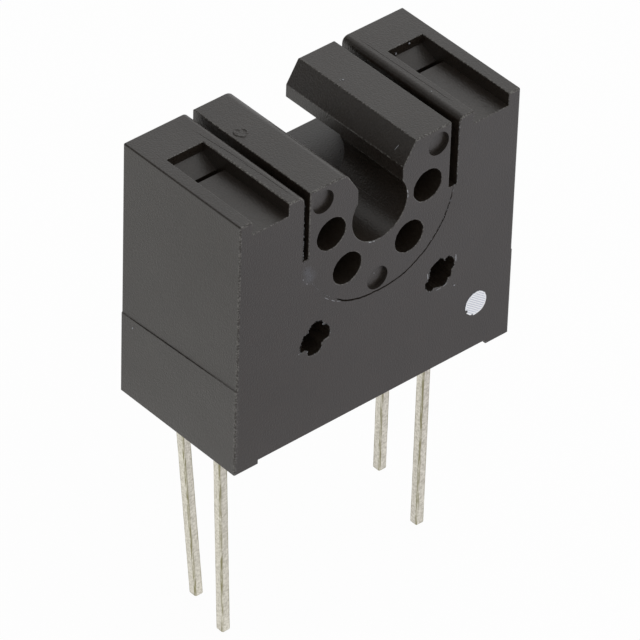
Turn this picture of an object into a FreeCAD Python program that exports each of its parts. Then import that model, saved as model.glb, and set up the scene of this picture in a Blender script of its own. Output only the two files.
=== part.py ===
"""Liquid tube sensor: a slotted housing that clips onto a clear tube, with a light emitter in one
tower and a light detector in the other, each on two leads for a circuit board.

Row frame, in millimetres: the origin is the middle of the four-lead grid on the board, where the
feet of the housing stand. +Z points up from the board, +Y towards the back, +X to the detector.
The tube lies along Y.
"""

import FreeCAD, Part
import math
import os
from FreeCAD import Vector

# Housing block
body_width = 15.24
body_height = 12.9
body_depth = 7.4
skirt_height = 4.25
skirt_step = 0.04
foot_width = 1.27
foot_height = 0.2

# Lead grid
lead_pitch = 2.54
lead_setback = 0.70
lead_size = 0.45
lead_row_offset = 0.70

# Tube channel and the clip mouth above it, with their depths below the top; the mould insert
# that forms them and the round holes sits a little off the middle of the housing
insert_shift = -0.045
channel_radius = 1.5
channel_drop = 2.66
neck_width = 2.44
neck_drop = 1.08
mouth_width = 3.76
lip_radius_left = 0.5

# Slits that part the clip arms from the towers
slit_width_left = 0.25
slit_width_right = 0.38
slit_depth = 3.38
tower_edge_radius = 0.3

# Beam windows through the back half of both arms
beam_window_height = 1.9
beam_window_depth = 3.45

# Round core-outs beside and under the channel, on the front face
core_hole_radius = 0.775
core_hole_depth = 3.2
core_side_shift = 0.03
core_low_offset = 1.70
core_low_drop = 2.21

# Cross-shaped core-outs, set in from the package pockets
cross_inset = 1.59
cross_height = 5.17
cross_reach = 0.80
cross_arm_width = 0.78
cross_core_radius = 0.62

# Ejector pin marks
ejector_radius = 0.56
ejector_depth = 0.25
ejector_arm_inset = 1.06
ejector_arm_drop = 0.77
ejector_low_height = 6.70

# Towers: walls round the pocket of each package, and the trough on top
tower_outer_wall = 0.65
tower_inner_wall = 0.83
trough_depth = 0.63
trough_back_wall = 1.98
roof_thickness = 0.62
latch_window_length = 1.39
tongue_reach = 0.90
tongue_sink = 0.48
tongue_drop = 0.42
tongue_thickness = 0.30

# Light aperture in the inner wall of each tower
aperture_width = 0.9
aperture_height = 1.5

# Moulded package of the emitter and of the detector
package_thickness = 1.8
package_width = 4.4
package_height = 5.6
package_clearance = 0.05
package_play = 0.09
package_chamfer = 0.2
lens_radius = 0.75
lens_height = 0.45

# Lead frame inside a package
pad_height = 1.2
pad_overhang = 0.45
post_width = 0.75
post_height = 0.9

# Light chip and its bond wire
die_size = 0.36
die_thickness = 0.2
wire_radius = 0.03
wire_rise = 0.22

# Leads: length below the board plane, and how far each tip has been bent towards the middle
lead_lengths = {"left_front": 11.7, "left_back": 11.7, "right_front": 11.6, "right_back": 10.15}
lead_leans = {"left_front": 0.44, "left_back": 1.07, "right_front": 0.0, "right_back": 0.0}
lead_bend_depth = 0.55

# White ink dot that marks the detector side
dot_radius = 0.575
dot_thickness = 0.02
dot_edge_distance = 1.96
dot_height = 2.57

# Places worked out from the sizes
front_y = -body_depth / 2 - lead_row_offset
back_y = body_depth / 2 - lead_row_offset
neck_top_z = body_height - neck_drop
pocket_outer_x = body_width / 2 - tower_outer_wall
pocket_inner_x = pocket_outer_x - package_play - package_thickness - package_clearance
clip_half = pocket_inner_x - tower_inner_wall
channel_height = body_height - channel_drop
core_side_x = (channel_radius + clip_half - slit_width_right) / 2 - core_side_shift
cross_x = pocket_inner_x - cross_inset
trough_back_y = back_y - trough_back_wall
trough_floor_z = body_height - trough_depth
package_inner_x = pocket_inner_x + package_clearance
package_top_z = trough_floor_z - roof_thickness - package_clearance
package_bottom_z = package_top_z - package_height
lead_x = package_inner_x + lead_setback
lead_face_x = lead_x - lead_size / 2
pad_bottom_z = channel_height - pad_height / 2
post_inner_y = lead_pitch / 2 + lead_size / 2 - post_width
post_middle_y = post_inner_y + post_width / 2
post_bottom_z = pad_bottom_z + pad_height - post_height
chip_face_x = lead_face_x - die_thickness


def block(x_range, y_range, z_range):
    """Returns a box between two x, two y and two z values, given in any order."""
    low = Vector(min(x_range), min(y_range), min(z_range))
    high = Vector(max(x_range), max(y_range), max(z_range))
    size = high - low
    return Part.makeBox(size.x, size.y, size.z, low)


def rod_along_y(radius, x, z, y_start, y_end):
    """Returns a cylinder whose axis runs along +Y."""
    return Part.makeCylinder(radius, y_end - y_start, Vector(x, y_start, z), Vector(0, 1, 0))


def prism_along_y(outline, y_start, y_end):
    """Returns the prism of a closed outline of (x, z) points."""
    points = [Vector(x, y_start, z) for x, z in outline]
    face = Part.Face(Part.makePolygon(points + points[:1]))
    return face.extrude(Vector(0, y_end - y_start, 0))


def prism_along_x(outline, x_start, x_end):
    """Returns the prism of a closed outline of (y, z) points."""
    points = [Vector(x_start, y, z) for y, z in outline]
    face = Part.Face(Part.makePolygon(points + points[:1]))
    return face.extrude(Vector(x_end - x_start, 0, 0))


def body_block():
    """Returns the plain block with its slightly wider skirt and the gap between the feet."""
    half = body_width / 2
    upper = block((-half, half), (front_y, back_y), (0, body_height))
    wide = half + skirt_step
    skirt = block((-wide, wide), (front_y, back_y), (0, skirt_height))
    inner = half - foot_width
    gap = block((-inner, inner), (front_y, back_y), (0, foot_height))
    return upper.fuse(skirt).cut(gap).removeSplitter()


def clip_cut():
    """Returns the space of the tube channel, its neck and the mouth that leads the tube in."""
    neck = neck_width / 2
    mouth = mouth_width / 2
    widening = (mouth - neck) / neck_drop
    above = body_height + neck_drop
    outer = mouth + widening * (above - body_height)
    outline = [
        (insert_shift - neck, channel_height),
        (insert_shift - neck, neck_top_z),
        (insert_shift - outer, above),
        (insert_shift + outer, above),
        (insert_shift + neck, neck_top_z),
        (insert_shift + neck, channel_height),
    ]
    mouth_space = prism_along_y(outline, front_y, back_y)
    channel = rod_along_y(channel_radius, insert_shift, channel_height, front_y, back_y)
    return channel.fuse(mouth_space)


def slit_cuts():
    """Returns the two slits between the clip arms and the towers."""
    bottom = body_height - slit_depth
    cuts = []
    for side, width in ((-1, slit_width_left), (1, slit_width_right)):
        x_range = (side * clip_half, side * (clip_half - width))
        cuts.append(block(x_range, (front_y, back_y), (bottom, body_height)))
    return cuts


def beam_window_cut():
    """Returns the window through both arms, at the height of the channel, open at the back."""
    half = beam_window_height / 2
    z_range = (channel_height - half, channel_height + half)
    return block((-clip_half, clip_half), (back_y - beam_window_depth, back_y), z_range)


def core_hole_cuts():
    """Returns the four blind round holes set round the channel."""
    end = front_y + core_hole_depth
    centres = [(core_side_x, channel_height), (core_low_offset, channel_height - core_low_drop)]
    return [
        rod_along_y(core_hole_radius, insert_shift + side * x, z, front_y, end)
        for x, z in centres
        for side in (-1, 1)
    ]


def cross_cut(x):
    """Returns one cross-shaped blind hole with a round middle."""
    end = front_y + core_hole_depth
    arm = cross_arm_width / 2
    middle = rod_along_y(cross_core_radius, x, cross_height, front_y, end)
    y_range = (front_y, end)
    flat = block(
        (x - cross_reach, x + cross_reach), y_range, (cross_height - arm, cross_height + arm)
    )
    tall = block(
        (x - arm, x + arm), y_range, (cross_height - cross_reach, cross_height + cross_reach)
    )
    return middle.fuse([flat, tall])


def ejector_cuts():
    """Returns the three shallow marks that the ejector pins leave."""
    end = front_y + ejector_depth
    arm_x = clip_half - ejector_arm_inset
    arm_z = body_height - ejector_arm_drop
    centres = [(-arm_x, arm_z), (arm_x, arm_z), (0, ejector_low_height)]
    return [rod_along_y(ejector_radius, insert_shift + x, z, front_y, end) for x, z in centres]


def trough_cut(side):
    """Returns the trough on top of a tower, open at the front, and the window in its floor."""
    x_range = (side * pocket_inner_x, side * pocket_outer_x)
    trough = block(x_range, (front_y, trough_back_y), (trough_floor_z, body_height))
    window_front = trough_back_y - latch_window_length
    window_bottom = trough_floor_z - roof_thickness
    window = block(x_range, (window_front, trough_back_y), (window_bottom, trough_floor_z))
    return trough.fuse(window)


def latch_tongue(side):
    """Returns the sloping tongue in the window, rooted in the wall behind it."""
    root_z = body_height - tongue_sink
    tip_y = trough_back_y - tongue_reach
    tip_z = root_z - tongue_drop
    outline = [
        (trough_back_y, root_z),
        (tip_y, tip_z),
        (tip_y, tip_z - tongue_thickness),
        (trough_back_y, tip_z - tongue_thickness),
    ]
    return prism_along_x(outline, side * pocket_inner_x, side * pocket_outer_x)


def pocket_cut(side):
    """Returns the pocket that a package slides up into, with the groove its lens passes through."""
    half = package_width / 2 + package_clearance
    roof = package_top_z + package_clearance
    x_range = (side * pocket_inner_x, side * pocket_outer_x)
    pocket = block(x_range, (-half, half), (0, roof))
    groove_half = lens_radius + package_clearance
    groove_x = pocket_inner_x - lens_height
    groove_range = (side * groove_x, side * pocket_inner_x)
    groove = block(groove_range, (-groove_half, groove_half), (0, channel_height))
    start = Vector(side * groove_x, 0, channel_height)
    round_end = Part.makeCylinder(groove_half, lens_height, start, Vector(side, 0, 0))
    return pocket.fuse([groove, round_end])


def aperture_cut(side):
    """Returns the light aperture from the lens groove to the face beside the slit."""
    x_range = (side * clip_half, side * pocket_inner_x)
    half_width = aperture_width / 2
    half_height = aperture_height / 2
    z_range = (channel_height - half_height, channel_height + half_height)
    return block(x_range, (-half_width, half_width), z_range)


def edges_at(shape, x, z):
    """Returns the edges of a shape whose middles lie at the given x and z."""
    return [
        edge
        for edge in shape.Edges
        if abs(edge.CenterOfMass.x - x) < 1e-6 and abs(edge.CenterOfMass.z - z) < 1e-6
    ]


def rounded(shape):
    """Returns the shape with its tower edges along the slits and its left lip rounded."""
    tower_edges = edges_at(shape, -clip_half, body_height) + edges_at(shape, clip_half, body_height)
    shape = shape.makeFillet(tower_edge_radius, tower_edges)
    lip_edges = edges_at(shape, insert_shift - mouth_width / 2, body_height)
    lip_edges += edges_at(shape, insert_shift - neck_width / 2, neck_top_z)
    return shape.makeFillet(lip_radius_left, lip_edges)


def housing():
    """Returns the one-piece moulded housing."""
    cuts = [clip_cut(), beam_window_cut()]
    cuts += slit_cuts() + core_hole_cuts() + ejector_cuts()
    cuts += [cross_cut(-cross_x), cross_cut(cross_x)]
    for side in (-1, 1):
        cuts += [trough_cut(side), pocket_cut(side), aperture_cut(side)]
    shell = body_block().cut(cuts)
    tongues = [latch_tongue(side) for side in (-1, 1)]
    return rounded(shell.fuse(tongues).removeSplitter())


def lead_bar(side, y, length, lean, top):
    """Returns a square lead: upright down to the bend, then straight to its leaning tip."""
    half = lead_size / 2
    bend = -lead_bend_depth
    outline = [
        (side * (lead_x - half), top),
        (side * (lead_x + half), top),
        (side * (lead_x + half), bend),
        (side * (lead_x + half - lean), -length),
        (side * (lead_x - half - lean), -length),
        (side * (lead_x - half), bend),
    ]
    return prism_along_y(outline, y - half, y + half)


def chip_lead(side, length, lean):
    """Returns the front lead, whose pad reaches to the middle and carries the light chip."""
    y = -lead_pitch / 2
    bar = lead_bar(side, y, length, lean, pad_bottom_z + pad_height)
    x_range = (side * lead_face_x, side * (lead_x + lead_size / 2))
    z_range = (pad_bottom_z, pad_bottom_z + pad_height)
    pad = block(x_range, (y - lead_size / 2, pad_overhang), z_range)
    return bar.fuse(pad).removeSplitter()


def post_lead(side, length, lean):
    """Returns the back lead, whose head takes the bond wire."""
    y = lead_pitch / 2
    top = post_bottom_z + post_height
    bar = lead_bar(side, y, length, lean, top)
    x_range = (side * lead_face_x, side * (lead_x + lead_size / 2))
    head = block(x_range, (post_inner_y, y + lead_size / 2), (post_bottom_z, top))
    return bar.fuse(head).removeSplitter()


def light_chip(side):
    """Returns the light-emitting or light-sensing chip on its pad."""
    half = die_size / 2
    x_range = (side * chip_face_x, side * lead_face_x)
    z_range = (channel_height - half, channel_height + half)
    return block(x_range, (-half, half), z_range)


def bond_wire(side, chip, post):
    """Returns the wire that arches from the face of the chip to the head of the back lead."""
    start = Vector(side * (chip_face_x + wire_radius), 0, channel_height)
    end = Vector(side * (lead_face_x + wire_radius), post_middle_y, channel_height)
    middle = (start + end) / 2
    outward = (end - start).cross(Vector(0, 0, side)).normalize()
    arch = Part.Circle(start, middle - outward * wire_rise, end)
    start_arm = start - arch.Center
    end_arm = end - arch.Center
    turn = Vector(0, 0, -side)
    rim = Part.makeCircle(wire_radius, start, turn.cross(start_arm))
    section = Part.Face(Part.Wire([rim]))
    sweep = section.revolve(arch.Center, turn, math.degrees(start_arm.getAngle(end_arm)))
    return sweep.cut([chip, post])


def package(side, inner_pieces):
    """Returns the moulded package with its lens, closed round the lead frame, chip and wire."""
    outer_x = package_inner_x + package_thickness
    half = package_width / 2
    x_range = (side * package_inner_x, side * outer_x)
    body = block(x_range, (-half, half), (package_bottom_z, package_top_z))
    top_edges = [
        edge
        for edge in body.Edges
        if abs(edge.CenterOfMass.z - package_top_z) < 1e-6
    ]
    body = body.makeChamfer(package_chamfer, top_edges)
    ball_radius = (lens_radius**2 + lens_height**2) / (2 * lens_height)
    ball_x = package_inner_x - lens_height + ball_radius
    ball = Part.makeSphere(ball_radius, Vector(side * ball_x, 0, channel_height))
    reach = lens_radius + package_clearance
    cap_x = (side * (package_inner_x - lens_height), side * lead_face_x)
    cap = ball.common(
        block(cap_x, (-reach, reach), (channel_height - reach, channel_height + reach))
    )
    return body.fuse(cap).removeSplitter().cut(inner_pieces)


def ink_dot():
    """Returns the printed dot on the front face."""
    x = body_width / 2 - dot_edge_distance
    return rod_along_y(dot_radius, x, dot_height, front_y - dot_thickness, front_y)


def tower_parts(side, names, lengths, leans):
    """Returns the packaged device of one tower as a dictionary of named solids."""
    chip_name, post_name = names
    front = chip_lead(side, lengths[0], leans[0])
    back = post_lead(side, lengths[1], leans[1])
    chip = light_chip(side)
    wire = bond_wire(side, chip, back)
    device = "emitter" if side < 0 else "detector"
    return {
        f"{device}_package": package(side, [front, back, chip, wire]),
        f"{device}_{chip_name}_lead": front,
        f"{device}_{post_name}_lead": back,
        f"{device}_chip": chip,
        f"{device}_bond_wire": wire,
    }


def build_parts():
    """Returns every sub-part by node name."""
    parts = {"housing": housing(), "polarity_dot": ink_dot()}
    for side, word, names in (
        (-1, "left", ("cathode", "anode")),
        (1, "right", ("collector", "emitter")),
    ):
        keys = (f"{word}_front", f"{word}_back")
        lengths = [lead_lengths[key] for key in keys]
        leans = [lead_leans[key] for key in keys]
        parts.update(tower_parts(side, names, lengths, leans))
    return parts


def main():
    os.makedirs("parts", exist_ok=True)
    for name, shape in build_parts().items():
        if not shape.isValid() or len(shape.Solids) != 1:
            print("check", name, shape.isValid(), len(shape.Solids))
        shape.exportStep(f"parts/{name}.step")
        print(f"{name}: {shape.Volume:.3f} mm3")


main()
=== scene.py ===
"""Liquid tube sensor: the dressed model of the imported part, in the row frame.

Sizes are in millimetres, as on a drawing, and each finished mesh is scaled to metres. The housing
is built from the same outlines as the solid, with its rounded arrises, parting line, mould insert
line, gate mark and ragged rims. The four leads and the ink dot are dressed in the same way, and the
packaged devices inside keep their solids.
"""

import logging
import math
import random
from dataclasses import dataclass
from enum import Enum
from typing import Any, Callable, Sequence

import bmesh
import bpy
from mathutils import Matrix, Vector, kdtree, noise


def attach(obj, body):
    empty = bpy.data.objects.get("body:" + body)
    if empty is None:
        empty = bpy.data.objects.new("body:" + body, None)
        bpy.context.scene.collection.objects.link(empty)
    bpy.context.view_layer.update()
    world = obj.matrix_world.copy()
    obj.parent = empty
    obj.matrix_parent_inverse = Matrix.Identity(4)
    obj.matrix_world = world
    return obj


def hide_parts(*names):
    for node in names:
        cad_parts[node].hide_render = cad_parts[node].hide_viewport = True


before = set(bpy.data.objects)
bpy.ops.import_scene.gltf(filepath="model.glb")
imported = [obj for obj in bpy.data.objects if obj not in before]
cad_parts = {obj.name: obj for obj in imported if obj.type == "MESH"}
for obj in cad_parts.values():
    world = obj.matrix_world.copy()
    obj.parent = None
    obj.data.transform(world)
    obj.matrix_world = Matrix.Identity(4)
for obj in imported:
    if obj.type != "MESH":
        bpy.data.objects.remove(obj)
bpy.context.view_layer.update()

log = logging.getLogger("tube_sensor")

MM = 0.001
TINY = 1e-3
PAST = 1.0  # how far a tool runs past the face that it cuts, in mm
RUN = 0.6  # length of a ragged outline's runs, in nicks

Point = tuple[float, float]
Outline = list[Point]
Place = tuple[float, float, float]
Colour = tuple[float, float, float, float]


class Axis(Enum):
    """The row axis that a prism runs along."""

    X = "x"
    Y = "y"


class Cut(Enum):
    """What a tool does to the piece that it meets."""

    AWAY = "DIFFERENCE"
    JOIN = "UNION"


class Side(Enum):
    """The left tower holds the emitter, the right tower the detector."""

    LEFT = -1
    RIGHT = 1


# Outlines


def circle(radius: float, centre: Point, steps: int = 72) -> Outline:
    """Returns a circle as a closed outline.

    Args:
        radius: Radius in mm.
        centre: Middle of the circle.
        steps: Number of points.

    Returns:
        The points, anticlockwise.
    """
    turns = [2 * math.pi * k / steps for k in range(steps)]
    return [(centre[0] + radius * math.cos(a), centre[1] + radius * math.sin(a)) for a in turns]


def box_outline(u_range: Point, v_range: Point) -> Outline:
    """Returns a rectangle between two u and two v values.

    Args:
        u_range: The u values, in any order.
        v_range: The v values, in any order.

    Returns:
        The four corners, anticlockwise.
    """
    u0, u1 = sorted(u_range)
    v0, v1 = sorted(v_range)
    return [(u0, v0), (u1, v0), (u1, v1), (u0, v1)]


def arc(centre: Point, radius: float, start: float, end: float, steps: int) -> Outline:
    """Returns the points of an arc, its ends among them, with its angles in degrees."""
    angles = [math.radians(start + (end - start) * k / steps) for k in range(steps + 1)]
    return [(centre[0] + radius * math.cos(a), centre[1] + radius * math.sin(a)) for a in angles]


def rounded_corner(
    before: Point, corner: Point, after: Point, radius: float, steps: int = 10
) -> Outline:
    """Returns the points of a fillet between two straight runs.

    Args:
        before: A point on the run that comes in.
        corner: Where the runs meet.
        after: A point on the run that goes out.
        radius: Radius of the fillet in mm.
        steps: Number of runs.

    Returns:
        The points from the first tangent point to the second.
    """
    here = Vector(corner)
    back = (Vector(before) - here).normalized()
    on = (Vector(after) - here).normalized()
    half = back.angle(on) / 2
    centre = here + (back + on).normalized() * (radius / math.sin(half))
    first = here + back * (radius / math.tan(half)) - centre
    last = here + on * (radius / math.tan(half)) - centre
    swing = first.angle_signed(last)
    points = []
    for k in range(steps + 1):
        turn = Matrix.Rotation(-swing * k / steps, 2)
        points.append(tuple(centre + turn @ first))
    return points


def ragged(outline: Outline, amount: float, grain: float, seed: float) -> Outline:
    """Returns a closed outline cut into short runs and pushed in and out a little.

    Args:
        outline: The clean outline.
        amount: How far a point may move, in mm.
        grain: Width of a nick, in mm.
        seed: Picks the nicks.

    Returns:
        The ragged outline.
    """
    points: Outline = []
    for start, end in zip(outline, outline[1:] + outline[:1]):
        run = Vector(end) - Vector(start)
        steps = max(1, round(run.length / (grain * RUN)))
        side = Vector((run.y, -run.x)).normalized()
        for k in range(steps):
            here = Vector(start) + run * (k / steps)
            nick = noise.noise(Vector((here.x / grain, here.y / grain, seed)))
            points.append(tuple(here + side * nick * amount))
    return points


# Meshes


def lift(point: Point, along: Axis, at: float) -> Vector:
    """Returns the place in space of an outline's point, at a value on the prism's axis."""
    u, v = point
    return Vector((at, u, v)) if along is Axis.X else Vector((u, at, v))


def object_of(name: str, form: bmesh.types.BMesh) -> bpy.types.Object:
    """Makes an object of a mesh, with its faces turned outwards.

    Args:
        name: The object's name.
        form: The mesh, which is used up.

    Returns:
        The new object.
    """
    bmesh.ops.recalc_face_normals(form, faces=form.faces)
    mesh = bpy.data.meshes.new(name)
    form.to_mesh(mesh)
    form.free()
    piece = bpy.data.objects.new(name, mesh)
    bpy.context.scene.collection.objects.link(piece)
    return piece


def loft(name: str, loops: Sequence[Sequence[Vector]]) -> bpy.types.Object:
    """Makes the closed solid that runs through loops of equally many points.

    Args:
        name: The object's name.
        loops: The loops, one after the other.

    Returns:
        The solid.
    """
    form = bmesh.new()
    rings = [[form.verts.new(p) for p in loop] for loop in loops]
    for lower, upper in zip(rings, rings[1:]):
        count = len(lower)
        for k in range(count):
            j = (k + 1) % count
            form.faces.new((lower[k], lower[j], upper[j], upper[k]))
    form.faces.new(reversed(rings[0]))
    form.faces.new(rings[-1])
    return object_of(name, form)


def prism(outline: Outline, span: Point, along: Axis) -> bpy.types.Object:
    """Returns the solid of an outline between two values on an axis."""
    return loft("tool", [[lift(p, along, at) for p in outline] for at in sorted(span)])


def settle(piece: bpy.types.Object) -> None:
    """Turns the piece's modifiers into its mesh.

    Args:
        piece: The object.
    """
    graph = bpy.context.evaluated_depsgraph_get()
    mesh = bpy.data.meshes.new_from_object(
        piece.evaluated_get(graph), preserve_all_data_layers=True, depsgraph=graph
    )
    piece.modifiers.clear()
    old = piece.data
    piece.data = mesh
    bpy.data.meshes.remove(old)


def work(piece: bpy.types.Object, tools: Sequence[bpy.types.Object], cut: Cut) -> None:
    """Cuts the tools out of the piece, or joins them to it, one after the other.

    Args:
        piece: The object that is worked on.
        tools: Closed solids, which are used up.
        cut: Whether they cut or join.
    """
    for tool in tools:
        step = piece.modifiers.new("step", "BOOLEAN")
        step.operation = cut.value
        step.solver = "EXACT"
        step.object = tool
        settle(piece)
        bpy.data.objects.remove(tool)


def smooth_flats(piece: bpy.types.Object, sharp_angle: float = 50.0) -> None:
    """Shades the flats flat and the rounded arrises round.

    Args:
        piece: The object.
        sharp_angle: The angle in degrees from which an arris is sharp.
    """
    piece.data.shade_smooth()
    piece.data.set_sharp_from_angle(angle=math.radians(sharp_angle))
    flats = piece.modifiers.new("flats", "WEIGHTED_NORMAL")
    flats.keep_sharp = True
    settle(piece)


def give_arris_slots(piece: bpy.types.Object) -> None:
    """Gives the piece a second slot, by which a rounding marks its new faces.

    Args:
        piece: The object.
    """
    piece.data.materials.clear()
    for name in ("flat", "arris"):
        piece.data.materials.append(bpy.data.materials.new(name))


def mark_arrises(
    piece: bpy.types.Object, arris_share_at: Callable[[Vector], float] = lambda place: 1.0
) -> None:
    """Turns the slots of the rounded faces into the attribute that the finishes read.

    Args:
        piece: The object, whose rounded faces have the second slot.
        arris_share_at: Gives how much of its arris colour an arris gets at a place in mm; on the
            housing these are pale specks, in part a painted highlight, and on the leads a painted
            shade line.
    """
    marks = piece.data.attributes.new("arris", "FLOAT", "FACE")
    for face in piece.data.polygons:
        marks.data[face.index].value = face.material_index * arris_share_at(face.center)
        face.material_index = 0


def finish_piece(
    piece: bpy.types.Object, slot: str, material: bpy.types.Material, *nodes: str
) -> None:
    """Scales the mesh to metres, dresses it and sets it on the body.

    Args:
        piece: The object, at the origin, with its mesh in mm.
        slot: The name of the piece's material slot; not used.
        material: Its material.
        nodes: The solids that the piece stands for.
    """
    piece.data.transform(Matrix.Scale(MM, 4))
    piece.data.materials.clear()
    piece.data.materials.append(material)
    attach(piece, "root")
    if nodes:
        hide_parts(*nodes)
    log.info("%s: %d faces", piece.name, len(piece.data.polygons))


# Finishes


def linear(code: str) -> Colour:
    """Turns an sRGB hex colour to linear.

    Args:
        code: The colour, such as #1b1611.

    Returns:
        Red, green, blue and alpha.
    """
    parts = [int(code[k : k + 2], 16) / 255 for k in (1, 3, 5)]
    r, g, b = [c / 12.92 if c <= 0.04045 else ((c + 0.055) / 1.055) ** 2.4 for c in parts]
    return (r, g, b, 1.0)


def add_node(
    tree: bpy.types.NodeTree, kind: str, inputs: dict[Any, Any] | None = None, **settings: Any
) -> bpy.types.NodeOutputs:
    """Adds a node with its settings, values and links.

    Args:
        tree: The node tree.
        kind: The node's type.
        inputs: A value or an output for each input, by name or number.
        settings: Its properties.

    Returns:
        The node's outputs.
    """
    node = tree.nodes.new(kind)
    for key, value in settings.items():
        setattr(node, key, value)
    for key, value in (inputs or {}).items():
        if isinstance(value, bpy.types.NodeSocket):
            tree.links.new(value, node.inputs[key])
        else:
            node.inputs[key].default_value = value
    return node.outputs


def new_tree(name: str) -> tuple[bpy.types.Material, bpy.types.NodeTree]:
    """Makes a material with an empty node tree.

    Args:
        name: The material's name.

    Returns:
        The material and its tree.
    """
    material = bpy.data.materials.new(name)
    material.use_nodes = True
    material.node_tree.nodes.clear()
    return material, material.node_tree


def close_tree(tree: bpy.types.NodeTree, surface: bpy.types.NodeSocket) -> None:
    """Links a shader to the material's output."""
    add_node(tree, "ShaderNodeOutputMaterial", {"Surface": surface})


def close_finish(
    tree: bpy.types.NodeTree,
    height: bpy.types.NodeSocket,
    relief: float,
    strength: float,
    inputs: dict[str, Any],
) -> None:
    """Ends a finish in a surface with a bump.

    Args:
        tree: The material's node tree.
        height: The pattern that stands up from the surface.
        relief: How high it stands, in mm.
        strength: How much of that shows, from 0 to 1.
        inputs: The surface's colour, roughness and the like.
    """
    bump = add_node(
        tree,
        "ShaderNodeBump",
        {"Strength": strength, "Distance": relief * MM, "Height": height},
    )
    shader = add_node(tree, "ShaderNodeBsdfPrincipled", {**inputs, "Normal": bump["Normal"]})
    close_tree(tree, shader[0])


def set_stops(colour: bpy.types.NodeSocket, stops: Sequence[tuple[float, Colour]]) -> None:
    """Sets the stops of a colour ramp.

    Args:
        colour: The ramp's output.
        stops: Each stop's place and colour, in order.
    """
    ramp = colour.node.color_ramp
    for at, _ in stops[1:-1]:
        ramp.elements.new(at)
    for stop, (at, tone) in zip(ramp.elements, stops):
        stop.position, stop.color = at, tone


def per_mm(size: float) -> float:
    """Returns the noise scale whose features are about this many mm across."""
    return 1 / (size * MM)


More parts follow.
